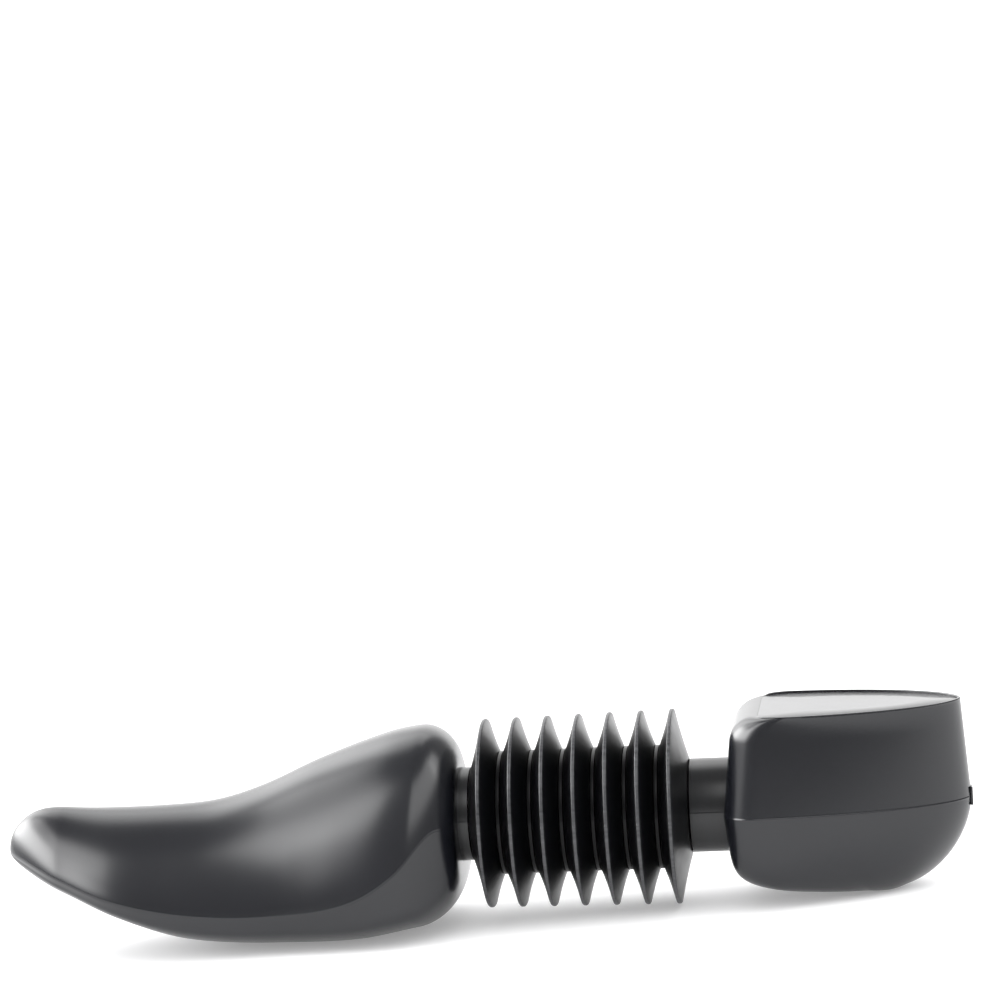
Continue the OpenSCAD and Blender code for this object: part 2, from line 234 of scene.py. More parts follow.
def finished(name, points, faces, sharp_deg=SHARP_DEG):
    """A closed, smooth mesh with its faces outward."""
    mesh = bpy.data.meshes.new(name)
    mesh.from_pydata([tuple(p) for p in laid_down(points)], [], faces)
    built = bmesh.new()
    built.from_mesh(mesh)
    bmesh.ops.remove_doubles(built, verts=built.verts, dist=0.002 * MM)
    bmesh.ops.dissolve_degenerate(built, edges=built.edges, dist=0.001 * MM)
    bmesh.ops.recalc_face_normals(built, faces=built.faces)
    built.to_mesh(mesh)
    built.free()
    mesh.shade_smooth()
    mesh.set_sharp_from_angle(angle=radians(sharp_deg))
    piece = bpy.data.objects.new(name, mesh)
    bpy.context.collection.objects.link(piece)
    return piece


def sheet_faces(rows, cols, at, around=False):
    """Quads between the rows of a grid of points that starts at number at."""
    last = cols if around else cols - 1
    return [(at + i * cols + k, at + i * cols + (k + 1) % cols,
             at + (i + 1) * cols + (k + 1) % cols, at + (i + 1) * cols + k)
            for i in range(rows - 1) for k in range(last)]


def strip_faces(a, b):
    return [(a[k], a[k + 1], b[k + 1], b[k]) for k in range(len(a) - 1)]


def half_shell(name, outer, inner):
    """Half a hollow block between two skins of rows, with a flat rim at the parting line.

    The first rows are its tip, and the last ones lie round the neck's hole.
    """
    rows, cols = outer.shape[:2]
    n = rows * cols
    number = np.arange(n).reshape(rows, cols)
    faces = sheet_faces(rows, cols, 0) + sheet_faces(rows, cols, n)
    for edge in (number[:, 0], number[:, -1], number[-1, :]):
        faces += strip_faces(list(edge), list(edge + n))
    faces.append(tuple(number[0, :]))
    faces.append(tuple(number[0, :] + n))
    faces.append((number[0, 0], number[0, -1], number[0, -1] + n, number[0, 0] + n))
    return finished(name, np.concatenate([outer.reshape(-1, 3), inner.reshape(-1, 3)]), faces)


# Toe block

def tip_round(u):
    t = share((1 - u) / TIP_SHARE)
    return np.sqrt(t * (2 - t))


def toe_half_w(u):
    return TOE_W / 2 * curve(PLAN_LINE, u) * tip_round(u)


def toe_seam_z(u):
    return -SOLE_DOWN * curve(SEAM_LINE, u)


def toe_section(x, inset, side_of_seam, turns):
    """Half a section at x, from the parting line to the ridge (1) or to the sole's middle (-1)."""
    u = (TOE_FACE_X - x) / TOE_LEN
    w = max(toe_half_w(u) - inset, THIN)
    seam = toe_seam_z(u)
    base = min(seam, toe_seam_z(max(u, BELLY_SHARE)))
    top = seam + (mix(TOE_TOP_UP, INSTEP_UP, curve(TOP_LINE, u)) - seam) * tip_round(u)
    up = max(top - inset - base, THIN)
    change = ease((u - ARCH_FROM) / ARCH_RUN)
    arch_y, arch_z = mix(*ARCH_Y, change), mix(*ARCH_Z, change)
    start = asin(share((seam - base) / up) ** (arch_z / 2))
    if side_of_seam > 0:
        a = mix(start, pi / 2, turns)
        y = w * np.cos(a).clip(0) ** (2 / arch_y)
        z = base + up * np.sin(a) ** (2 / arch_z)
    else:
        low = seam + (-SOLE_DOWN * curve(SOLE_LINE, u) - seam) * tip_round(u)
        down = max(seam - low - inset, THIN)
        crown = min(SOLE_CROWN * tip_round(u), down * 0.7)
        wall = down - crown
        e = share((turns - EDGE_V) / (1 - EDGE_V)) * pi / 2
        edge = w * cos(start) ** (2 / arch_y) - SOLE_DRAFT * tip_round(u) * share(turns / EDGE_V)
        y = edge * np.cos(e).clip(0)
        z = seam - wall * share(turns / EDGE_V) - crown * np.sin(e)
    return y, z


def stood_back(x, y):
    """Where a point of the block stands once its rear face is curved back at the sides."""
    side = share((abs(y) - NECK_R) / (TOE_W / 2 - NECK_R))
    return x - FACE_CURVE * side ** 2 * (1 - ease((TOE_FACE_X - x) / (FACE_RUN * TOE_LEN)))


def toe_stations(inset, long_rows, corner_rows):
    """Places along the block and insets of its skin, from the tip to the rear face."""
    t = np.linspace(0, 1, long_rows, endpoint=False)
    straight = mix(TOE_TIP_X + inset + TIP_BLUNT, TOE_FACE_X - inset - TOE_CORNER_R, t ** 1.9)
    bend = np.linspace(0, pi / 2, corner_rows)
    corner = TOE_FACE_X - inset - TOE_CORNER_R * (1 - np.sin(bend))
    return np.concatenate([
        np.stack([straight, np.full(long_rows, inset)], 1),
        np.stack([corner, inset + TOE_CORNER_R * (1 - np.cos(bend))], 1)])


def even_steps(y, z, steps):
    """The line y, z read closely at its start, then in even steps to its end."""
    length = np.concatenate([[0], np.cumsum(np.hypot(np.diff(y), np.diff(z)))])
    close = SEAM_STEPS * min(1, length[-1] / (4 * SEAM_STEPS[-1]))
    at = np.concatenate([close, np.linspace(close[-1], length[-1], steps)[1:]])
    return np.interp(at, length, y), np.interp(at, length, z), at


def toe_skin(inset, side_of_seam, groove, long_rows=110, corner_rows=22, steps=40):
    """Rows of points across half the block, closed at the back round the neck's hole."""
    dense = np.linspace(0, 1, 400)
    rows = []
    away = []
    for x, drawn_in in toe_stations(inset, long_rows, corner_rows):
        y, z = toe_section(x, drawn_in, side_of_seam, dense)
        y, z, at = even_steps(y, z, steps)
        rows.append(np.stack([stood_back(x, y), y, z], 1))
        away.append(at)
    rows = np.array(rows)
    if groove:
        travel = unit(np.gradient(rows[:, :, :2], axis=0))
        out = np.stack([-travel[..., 1], travel[..., 0], np.zeros(travel.shape[:2])], -1)
        swell = GROOVE_H * (1 - share(np.array(away) / BEAD_HALF_W) ** 2) ** 2
        fade = share(rows[:, :, 1] / (2 * MM)) * share((TOE_FACE_X - rows[:, :, 0]) / MM)
        rows += out * (swell * fade)[..., None]
    turns = np.array(away[-1]) / away[-1][-1] * pi / 2
    hole_r = NECK_R + SEAT_GAP
    hole = np.stack([np.full(len(turns), TOE_FACE_X - inset), hole_r * np.cos(turns),
                     side_of_seam * hole_r * np.sin(turns)], 1)
    rows = np.concatenate([rows, mix(rows[-1], hole, 0.5)[None], hole[None]])
    mirrored = rows[:, -2::-1] * np.array([1, -1, 1])
    return np.concatenate([rows, mirrored], 1)


def toe_shell(name, side_of_seam):
    outer = toe_skin(0, side_of_seam, groove=True)
    inner = toe_skin(WALL, side_of_seam, groove=False)
    return half_shell(name, outer, inner)


# Heel block

def plan_half_w(s):
    along, across = PLAN_POWERS
    return (1 - share(s) ** along) ** (1 / across)


def plan_loop(front, back, w, r, face_steps=8, corner_steps=12, side_steps=60):
    """The block seen from above: from the middle of the front, round the -Y side, and home."""
    s0 = r / (back - front)
    a = np.linspace(0, pi / 2, corner_steps, endpoint=False)
    s = mix(s0, 1, np.sin(np.linspace(0, pi / 2, side_steps)))
    face = np.linspace(0, w * plan_half_w(s0) - r, face_steps, endpoint=False)
    x = np.concatenate([np.full(face_steps, front), front + r * (1 - np.cos(a)),
                        mix(front, back, s)])
    y = np.concatenate([face, w * plan_half_w(s0) - r * (1 - np.sin(a)), w * plan_half_w(s)])
    near = np.stack([x, -y], 1)
    far = np.stack([x, y], 1)[-2:0:-1]
    return np.concatenate([near, far])


def upper_loop(z, inset):
    """The upper walls at height z, as (x, y) points drawn in by inset."""
    rise = share((z - PLATE_Z + BROW_R) / BROW_R)
    brow = FRONT_LEAN * z / HEEL_UP + BROW_R * (1 - np.sqrt(1 - rise * rise))
    return plan_loop(HEEL_FACE_X + brow + inset, HEEL_BACK_X - BACK_DRAFT * z / HEEL_UP - inset,
                     HEEL_W / 2 - SIDE_DRAFT * z / HEEL_UP - inset, HEEL_CORNER_R - inset / 2)


def raised(loop, z):
    return np.concatenate([loop, np.ones((len(loop), 1)) * np.reshape(z, (-1, 1))], 1)


def outward(loop):
    """The outward direction at each point of a loop of (x, y) points, the -Y side first."""
    travel = unit(np.roll(loop, -1, 0) - np.roll(loop, 1, 0))
    return np.stack([travel[:, 1], -travel[:, 0]], 1)


def bead_swell(z):
    """How far the parting line's bead stands out at height z."""
    return BEAD_H * (1 - share(abs(z) / BEAD_HALF_W) ** 2) ** 2


def lip_share(loop):
    """How much of the lip's height each point has: none at the front, all along the sides."""
    return ease((loop[:, 0] - HEEL_FACE_X - FRONT_LEAN - BROW_R - LIP_FROM) / LIP_RUN)


def heel_upper():
    rows = []
    for z in np.concatenate([SEAM_STEPS, np.linspace(2 * SEAM_STEPS[-1], PLATE_Z - BROW_R, 12)]):
        loop = upper_loop(z, 0)
        rows.append(raised(loop + outward(loop) * bead_swell(z), z))
    for a in np.linspace(0, pi / 2, 16)[1:]:
        z = PLATE_Z - BROW_R * (1 - np.sin(a))
        rows.append(raised(upper_loop(z, 0), z))
    lip = LIP_STEP * lip_share(upper_loop(PLATE_Z, 0))

    def lip_row(inset, turn):
        up = 1 - LIP_ROUND / LIP_STEP * (1 - sin(turn))
        return raised(upper_loop(PLATE_Z, inset), PLATE_Z + lip * up)

    for a in (0, 25, 50, 70, 90):
        rows.append(lip_row(LIP_ROUND * (1 - cos(radians(a))), radians(a)))
    for a in (90, 60, 30, 0):
        rows.append(lip_row(LIP_W - LIP_ROUND * (1 - cos(radians(a))), radians(a)))
    # The ledge that the plate lies on, then the inside of the wall
    ledge_z = PLATE_Z - PLATE_T
    rows.append(raised(upper_loop(PLATE_Z, LIP_W), ledge_z))
    rows.append(raised(upper_loop(PLATE_Z, LIP_W + LEDGE_W), ledge_z))
    for z in (ledge_z - 4 * MM, 12 * MM, 0):
        rows.append(raised(upper_loop(z, WALL), z))
    rows = np.array(rows)
    count, cols = rows.shape[:2]
    faces = sheet_faces(count, cols, 0, around=True)
    last = (count - 1) * cols
    faces += [(last + k, last + (k + 1) % cols, (k + 1) % cols, k) for k in range(cols)]
    return finished("heel_upper_shell_skin", rows.reshape(-1, 3), faces, SHARP_DEG_ROUND)


def capped(name, rows, sharp_deg=SHARP_DEG):
    """A closed mesh of loops, with its first and last loop filled."""
    rows = np.array(rows)
    count, cols = rows.shape[:2]
    faces = sheet_faces(count, cols, 0, around=True)
    faces += [tuple(range(cols)), tuple(range((count - 1) * cols, count * cols))]
    return finished(name, rows.reshape(-1, 3), faces, sharp_deg)


def heel_plate():
    rows = [raised(upper_loop(PLATE_Z, LIP_W + SEAT_GAP), PLATE_Z - PLATE_T)]
    # The edge is rounded along the sides, and flush with the brow at the front
    for inset, drop in ((0, 0.15), (0.04, 0.05), (0.15, 0)):
        loop = upper_loop(PLATE_Z, LIP_W + SEAT_GAP + inset * MM)
        rows.append(raised(loop, PLATE_Z - drop * MM * mix(0.05, 1, lip_share(loop))))
    edge = rows[-1]
    middle = np.array([HEEL_MID_X, 0, PLATE_Z])
    rows += [mix(edge, middle, t) for t in (0.5, 0.85)]
    return capped("heel_top_plate_skin", rows)


def under_rows(inset, bead):
    """Rows of points from the parting line down to near the lowest point of the heel."""
    loop = plan_loop(HEEL_FACE_X + inset, HEEL_BACK_X - inset, HEEL_W / 2 - inset,
                     HEEL_CORNER_R - inset / 2)
    s = (loop[:, 0] - HEEL_FACE_X) / HEEL_LEN
    front = share(1 - 2 * s)
    square, middle, ball = UNDER_POWERS
    roundness = np.where(s < 0.5, mix(square, middle, ease(s / 0.5)),
                         mix(middle, ball, ease((s - 0.5) / 0.5)))
    power = 2 / roundness
    rows = []
    # Degrees down from the parting line, close together beside it
    angles = np.concatenate([[0, 0.05, 0.15, 0.4, 0.8, 1.4, 2.2, 3.2], np.linspace(4.5, 89, 46)])
    for a in np.radians(angles):
        c, k = cos(a) ** power, sin(a) ** power
        x = mix(HEEL_MID_X, loop[:, 0], c)
        down = mix(HEEL_FRONT_DOWN, HEEL_BACK_DOWN, (x - HEEL_FACE_X) / (HEEL_MID_X - HEEL_FACE_X))
        z = (inset - down) * k
        flat = np.stack([x + UNDER_LEAN * k * c * front,
                         loop[:, 1] * c * (1 - UNDER_DRAFT / (HEEL_W / 2) * k)], 1)
        if bead:
            flat = flat + outward(loop) * bead_swell(z)[:, None]
        rows.append(raised(flat, z))
    return np.array(rows)


def heel_lower():
    outer = under_rows(0, True)
    inner = under_rows(WALL, False)
    return capped("heel_lower_shell_skin", np.concatenate([outer[::-1], inner]), SHARP_DEG_ROUND)


def gate_stub():
    """The cut end of the moulding gate: a small block with worn edges."""
    x0, x1 = HEEL_BACK_X - STUB_SUNK, HEEL_BACK_X + STUB_LEN
    y, z = STUB_W / 2, STUB_H / 2
    corners = [(x, sy * y, sz * z) for x in (x0, x1) for sy in (-1, 1) for sz in (-1, 1)]
    faces = [(0, 1, 3, 2), (4, 6, 7, 5), (0, 4, 5, 1), (2, 3, 7, 6), (0, 2, 6, 4), (1, 5, 7, 3)]
    piece = finished("gate_stub_skin", corners, faces)
    worn = piece.modifiers.new("worn edges", "BEVEL")
    worn.width = STUB_WORN
    worn.segments = 3
    return piece


# Node trees

class Nodes:
    """The nodes and links of one tree under construction."""

    def __init__(self, tree):
        self.nodes = tree.nodes
        self.links = tree.links

    def add(self, kind, settings=(), **inputs):
        node = self.nodes.new(kind)
        for name, value in dict(settings).items():
            setattr(node, name, value)
        for label, value in inputs.items():
            self.feed(node.inputs[label.replace("_", " ")], value)
        return node

    def feed(self, socket, value):
        if isinstance(value, bpy.types.NodeSocket):
            self.links.new(value, socket)
        else:
            socket.default_value = value

    def math(self, operation, *values):
        node = self.add("ShaderNodeMath", {"operation": operation})
        for socket, value in zip(node.inputs, values):
            self.feed(socket, value)
        return node.outputs[0]


# Bellows and necks, turned about the axis by Geometry Nodes

class Tree(Nodes):
    """A geometry node tree with named sizes, whose last input is the finish."""

    def __init__(self, name, sizes):
        self.tree = bpy.data.node_groups.new(name, "GeometryNodeTree")
        super().__init__(self.tree)
        face = self.tree.interface
        face.new_socket("Geometry", in_out="OUTPUT", socket_type="NodeSocketGeometry")
        for label, default in sizes.items():
            kind = "NodeSocketInt" if isinstance(default, int) else "NodeSocketFloat"
            face.new_socket(label, in_out="INPUT", socket_type=kind).default_value = default
        face.new_socket("Finish", in_out="INPUT", socket_type="NodeSocketMaterial")
        self.given = self.add("NodeGroupInput").outputs
        self.out = self.add("NodeGroupOutput")

    def vector(self, x, y, z):
        return self.add("ShaderNodeCombineXYZ", X=x, Y=y, Z=z).outputs[0]

    def turned(self, profile):
        """Sweep a closed profile round X and raise the parting line's bead on both sides.

        The profile's first direction is away from the axis, from the radius, and its second is -X.
        """
        path = self.add("GeometryNodeCurvePrimitiveCircle", Resolution=self.given["Facets"],
                        Radius=self.given["Radius"]).outputs[0]
        ring = self.add("GeometryNodeCurveToMesh", Curve=path, Profile_Curve=profile).outputs[0]
        turn = self.add("GeometryNodeTransform", Geometry=ring, Rotation=(0, pi / 2, 0),
                        Translation=self.vector(self.given["Place"], 0, 0)).outputs[0]
        parts = self.add("ShaderNodeSeparateXYZ",
                         Vector=self.add("GeometryNodeInputPosition").outputs[0]).outputs
        near = self.math("DIVIDE", self.math("ABSOLUTE", parts["Z"]), BEAD_HALF_W)
        swell = self.math("MAXIMUM", self.math("SUBTRACT", 1, self.math("MULTIPLY", near, near)), 0)
        reach = self.math("GREATER_THAN", self.math("ABSOLUTE", parts["Y"]),
                          self.math("SUBTRACT", self.given["Radius"], self.given["Depth"]))
        high = self.math("MULTIPLY", self.math("MULTIPLY", swell, swell),
                         self.math("MULTIPLY", reach, self.given["Bead"]))
        push = self.math("MULTIPLY", high, self.math("SIGN", parts["Y"]))
        moved = self.add("GeometryNodeSetPosition", Geometry=turn,
                         Offset=self.vector(0, push, 0)).outputs[0]
        real = self.add("GeometryNodeRealizeInstances", Geometry=moved).outputs[0]
        shown = self.add("GeometryNodeSetMaterial", Geometry=real,
                         Material=self.given["Finish"]).outputs[0]
        self.links.new(shown, self.out.inputs["Geometry"])
        return self.tree


def band_tree():
    """A ring of rectangular section with rounded edges: a rim, a root band or a neck."""
    tree = Tree("turned band", {"Radius": ROOT_R, "Width": ROOT_W, "Depth": FOLD_WALL,
                                "Edge": ROOT_EDGE, "Place": 0.0, "Bead": BEAD_H,
                                "Facets": ROOT_FACETS})
    given = tree.given
    section = tree.add("GeometryNodeCurvePrimitiveQuadrilateral", Width=given["Depth"],
                       Height=given["Width"]).outputs[0]
    in_half = tree.math("MULTIPLY", given["Depth"], -0.5)
    moved = tree.add("GeometryNodeTransform", Geometry=section,
                     Translation=tree.vector(in_half, 0, 0)).outputs[0]
    rounded = tree.add("GeometryNodeFilletCurve", {"mode": "POLY"}, Curve=moved,
                       Radius=given["Edge"], Count=4).outputs[0]
    return tree.turned(rounded)


def flank_tree():
    """A fold's wall: a thin cone, bowed a little, from its foot up to the rim."""
    tree = Tree("folded flank", {"Radius": TOE_CREST_R, "Foot radius": ROOT_R, "Foot place": 0.0,
                                 "Top place": 0.0, "Depth": FOLD_WALL, "Bow": 0.0, "Place": 0.0,
                                 "Bead": BEAD_H, "Facets": FOLD_FACETS, "Steps": 14})
    given = tree.given
    steps = given["Steps"]
    line = tree.add("GeometryNodeMeshLine", Count=tree.math("MULTIPLY", steps, 2)).outputs[0]
    number = tree.add("GeometryNodeInputIndex").outputs[0]
    inside = tree.math("GREATER_THAN", number, tree.math("SUBTRACT", steps, 0.5))
    back = tree.math("SUBTRACT", tree.math("SUBTRACT", tree.math("MULTIPLY", steps, 2), 1), number)
    count = tree.math("ADD", tree.math("MULTIPLY", tree.math("SUBTRACT", 1, inside), number),
                      tree.math("MULTIPLY", inside, back))
    up = tree.math("DIVIDE", count, tree.math("SUBTRACT", steps, 1))
    bow = tree.math("MULTIPLY", given["Bow"], tree.math("SINE", tree.math("MULTIPLY", up, pi)))
    fall = tree.math("SUBTRACT", given["Foot radius"], given["Radius"])
    out = tree.math("MULTIPLY", fall, tree.math("SUBTRACT", 1, up))
    wall = tree.math("MULTIPLY", inside, given["Depth"])
    radial = tree.math("SUBTRACT", out, wall)
    run = tree.math("SUBTRACT", given["Top place"], given["Foot place"])
    along = tree.math("ADD", tree.math("ADD", given["Foot place"], tree.math("MULTIPLY", run, up)),
                      bow)
    placed = tree.add("GeometryNodeSetPosition", Geometry=line,
                      Position=tree.vector(radial, tree.math("MULTIPLY", along, -1), 0)).outputs[0]
    drawn = tree.add("GeometryNodeMeshToCurve", Mesh=placed).outputs[0]
    closed = tree.add("GeometryNodeSetSplineCyclic", Geometry=drawn, Cyclic=True).outputs[0]
    return tree.turned(closed)


def evaluated(name, tree, finish, **sizes):
    """The tree's result as a plain mesh object, laid down in its place."""
    blank = bpy.data.objects.new(name + "_blank", bpy.data.meshes.new(name + "_blank"))
    bpy.context.collection.objects.link(blank)
    modifier = blank.modifiers.new("turned", "NODES")
    modifier.node_group = tree
    given = {label.replace("_", " "): value for label, value in sizes.items()}
    for item in tree.interface.items_tree:
        if item.in_out == "INPUT":
            value = finish if item.name == "Finish" else given.get(item.name, item.default_value)
            modifier[item.identifier] = value
    bpy.context.view_layer.update()
    result = blank.evaluated_get(bpy.context.evaluated_depsgraph_get())
    mesh = bpy.data.meshes.new_from_object(result)
    bpy.data.objects.remove(blank)
    mesh.name = name
    co = np.empty(len(mesh.vertices) * 3)
    mesh.vertices.foreach_get("co", co)
    co = co.reshape(-1, 3)
    map_fold(mesh, co)
    mesh.vertices.foreach_set("co", laid_down(co).ravel())
    mesh.update()
    point_outward(mesh)
    mesh.shade_smooth()
    mesh.set_sharp_from_angle(angle=radians(SHARP_DEG_ROUND))
    piece = bpy.data.objects.new(name, mesh)
    bpy.context.collection.objects.link(piece)
    return piece


def map_fold(mesh, co):
    """A UV map of turns round the axis, and of the share of the way from root to crest."""
    layer = mesh.uv_layers.new(name="fold map")
    corner = np.empty(len(mesh.loops), int)
    mesh.loops.foreach_get("vertex_index", corner)
    turn = np.arctan2(co[:, 2], co[:, 1])[corner] / (2 * pi)
    radius = np.hypot(co[:, 1], co[:, 2])[corner]
    starts = np.empty(len(mesh.polygons), int)
    counts = np.empty(len(mesh.polygons), int)
    mesh.polygons.foreach_get("loop_start", starts)
    mesh.polygons.foreach_get("loop_total", counts)
    first = np.repeat(turn[starts], counts)
    turn = turn + np.round(first - turn)
    crest = mix(TOE_CREST_R, HEEL_CREST_R, 0.5)
    height = (radius - ROOT_R) / (crest - ROOT_R)
    layer.data.foreach_set("uv", np.stack([turn, height], 1).ravel())


def point_outward(mesh):
    built = bmesh.new()
    built.from_mesh(mesh)
    bmesh.ops.recalc_face_normals(built, faces=built.faces)
    built.to_mesh(mesh)
    built.free()


# Finishes

class Finish(Nodes):
    """A plastic under construction."""

    def __init__(self, name, roughness, specular=0.5):
        self.material = bpy.data.materials.new(name)
        self.material.use_nodes = True
        super().__init__(self.material.node_tree)
        self.shader = self.nodes["Principled BSDF"]
        self.shader.inputs["Roughness"].default_value = roughness
        self.shader.inputs["Specular IOR Level"].default_value = specular

    def place(self):
        return self.add("ShaderNodeTexCoord").outputs["Object"]

    def noise(self, scale, detail=3.0, vector=None, roughness=0.5):
        return self.add("ShaderNodeTexNoise", Scale=scale, Detail=detail, Roughness=roughness,
                        Vector=vector or self.place()).outputs["Fac"]

    def stretched(self, scale):
        return self.add("ShaderNodeMapping", Vector=self.place(), Scale=scale).outputs[0]

    def ramp(self, value, low, high, to_low=0.0, to_high=1.0):
        return self.add("ShaderNodeMapRange", {"clamp": True}, Value=value, From_Min=low,
                        From_Max=high, To_Min=to_low, To_Max=to_high).outputs[0]

    def blend(self, share_of_b, a, b):
        node = self.add("ShaderNodeMix", {"data_type": "RGBA"})
        self.feed(node.inputs["Factor"], share_of_b)
        self.feed(node.inputs[6], a)
        self.feed(node.inputs[7], b)
        return node.outputs[2]

    def bump(self, height, strength, distance):
        return self.add("ShaderNodeBump", Height=height, Strength=strength,
                        Distance=distance).outputs[0]

    def skin(self, colour, roughness, normal):
        self.links.new(colour, self.shader.inputs["Base Color"])
        self.links.new(roughness, self.shader.inputs["Roughness"])
        self.links.new(normal, self.shader.inputs["Normal"])
        return self.material


CHARCOAL = (0.0045, 0.0049, 0.0068, 1)
CHARCOAL_PALE = (0.006, 0.0065, 0.0088, 1)
INK = (0.0025, 0.0026, 0.0032, 1)
CHALK = (0.22, 0.22, 0.23, 1)


def moulded_block(name, gloss=0.235):
    """Charcoal plastic as it comes from the mould, with faint clouds, specks and a fine grain."""
    finish = Finish(name, gloss)
    clouds = finish.noise(28, 4)
    colour = finish.blend(finish.ramp(clouds, 0.3, 0.7), CHARCOAL, CHARCOAL_PALE)
    speck = finish.ramp(finish.noise(1500, 1), 0.80, 0.90)
    colour = finish.blend(finish.math("MULTIPLY", speck, 0.06), colour, CHALK)
    rough = finish.ramp(finish.noise(20, 4), 0.25, 0.75, gloss - 0.01, gloss + 0.03)
    grain = finish.bump(finish.noise(2600, 2), 0.08, 0.02 * MM)
    return finish.skin(colour, rough, grain)


def stretched_fold(name, dark, chalk, chalk_from, specular):
    """Thin stretched plastic: near black, whitened in fine streaks towards the crest."""
    finish = Finish(name, 0.31, specular)
    uv = finish.add("ShaderNodeUVMap", {"uv_map": "fold map"}).outputs[0]
    parts = finish.add("ShaderNodeSeparateXYZ", Vector=uv).outputs
    streak_place = finish.add("ShaderNodeMapping", Vector=uv, Scale=(150, 3, 1)).outputs[0]
    streaks = finish.ramp(finish.noise(1, 4, streak_place, 0.6), 0.35, 0.75)
    height = finish.ramp(parts["Y"], chalk_from, 1.0)
    worn = finish.math("MULTIPLY", finish.math("POWER", height, 3.0), streaks)
    colour = finish.blend(finish.math("MULTIPLY", worn, chalk), dark, CHALK)
    rough = finish.math("ADD", finish.math("MULTIPLY", worn, 0.2),
                        finish.ramp(finish.noise(160, 3), 0.3, 0.7, 0.29, 0.34))
    pull = finish.bump(streaks, 0.2, 0.04 * MM)
    return finish.skin(colour, rough, pull)


def neck_finish():
    """The neck's plastic: near black, with soft rings left by the mould."""
    finish = Finish("neck plastic", 0.28)
    rings = finish.noise(1, 3, finish.stretched((900, 25, 25)))
    colour = finish.blend(finish.ramp(rings, 0.3, 0.7), INK, CHARCOAL)
    rough = finish.ramp(finish.noise(70, 4), 0.3, 0.7, 0.28, 0.34)
    return finish.skin(colour, rough, finish.bump(rings, 0.15, 0.05 * MM))


BLOCK = moulded_block("block plastic")
PLATE = moulded_block("plate plastic", 0.2)
RIM = stretched_fold("rim plastic", CHARCOAL, 0.3, 0.2, 0.5)
# The fold walls and the root bands get the darker INK where the rims get CHARCOAL, though all are
# one plastic: painted shade in the folds
FOLD = stretched_fold("fold plastic in painted shade", INK, 0.15, 0.7, 0.3)
ROOT = stretched_fold("root plastic in painted shade", INK, 0.0, 0.9, 0.15)
NECK = neck_finish()

BAND_TREE = band_tree()
FLANK_TREE = flank_tree()


# The stretcher

def dressed(piece, finish, slot, *nodes):
    piece.data.materials.clear()
    piece.data.materials.append(finish)
    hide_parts(*nodes)
    return piece


def build_blocks():
    toe = [dressed(toe_shell("toe_upper", 1), BLOCK, "block_plastic", "toe_upper_shell"),
           dressed(toe_shell("toe_sole", -1), BLOCK, "block_plastic", "toe_sole_shell")]
    for piece in toe:
        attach(piece, "toe_block")
    heel = [dressed(heel_upper(), BLOCK, "block_plastic", "heel_upper_shell"),
            dressed(heel_lower(), BLOCK, "block_plastic", "heel_lower_shell"),
            dressed(heel_plate(), PLATE, "plate_plastic", "heel_top_plate"),
            dressed(gate_stub(), BLOCK, "block_plastic", "gate_stub")]
    for piece in heel:
        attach(piece, "heel_block")


def build_bellows():
    for i in range(1, FOLDS + 1):
        x = (i - 1) * PITCH
        r = mix(TOE_CREST_R, HEEL_CREST_R, (i - 1) / (FOLDS - 1))
        fold_body = f"fold_{i}"
        before = "toe_block" if i == 1 else f"root_band_{i - 1}"
        after = "heel_block" if i == FOLDS else f"root_band_{i}"
        rim = evaluated(f"rim_{i}", BAND_TREE, RIM, Radius=r, Width=RIM_W, Depth=RIM_T,
                        Edge=RIM_EDGE, Place=x, Facets=RIM_FACETS, Bead=RIM_BEAD_H)
        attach(dressed(rim, RIM, "rim_plastic", f"crest_{i}"), fold_body)
        for side, start, end, label in ((-1, before, fold_body, "toe"),
                                        (1, fold_body, after, "heel")):
            # The first and the last wall end at a neck, with no root band between
            at_neck = (i == 1 and side < 0) or (i == FOLDS and side > 0)
            foot_r = NECK_R if at_neck else ROOT_R
            foot = PITCH / 2 - (0 if at_neck else ROOT_W / 2) - FOLD_GAP
            piece = evaluated(f"{label}_side_{i}", FLANK_TREE, FOLD, Radius=r - FOLD_TUCK,
                              Foot_radius=foot_r, Foot_place=side * foot,
                              Top_place=side * RIM_W / 2, Bow=side * FOLD_BOW, Place=x,
                              Facets=FOLD_FACETS, Bead=BEAD_H)
            dressed(piece, FOLD, "fold_plastic", f"{label}_flank_{i}")
            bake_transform(piece)
        if i < FOLDS:
            root = evaluated(f"root_ring_{i}", BAND_TREE, ROOT, Radius=ROOT_R, Width=ROOT_W,
                             Depth=FOLD_WALL, Edge=ROOT_EDGE, Place=x + PITCH / 2)
            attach(dressed(root, ROOT, "fold_plastic", f"root_{i}"), f"root_band_{i}")


def neck(name, start, end, node, body):
    piece = evaluated(name, BAND_TREE, NECK, Radius=NECK_R, Width=end - start, Depth=NECK_WALL,
                      Edge=NECK_EDGE, Place=(start + end) / 2, Facets=FOLD_FACETS)
    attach(dressed(piece, NECK, "neck_plastic", node), body)


build_blocks()
build_bellows()
neck("toe_tube", TOE_FACE_X - WALL, -PITCH / 2 - FOLD_GAP, "toe_neck", "toe_block")
neck("heel_tube", LAST_CREST_X + PITCH / 2 + FOLD_GAP,
     HEEL_FACE_X + FRONT_LEAN * NECK_R / HEEL_UP + 2 * WALL, "heel_neck", "heel_block")


# Floor, camera and light

# The floor ends a little in front of the object, as a table top does
FLOOR_HALF_W = 3.0
FLOOR_FRONT = -0.36
FLOOR_BACK = 4.0
FLOOR_TONE = (0.82, 0.82, 0.825, 1)
FLOOR_GLOW = 0.25


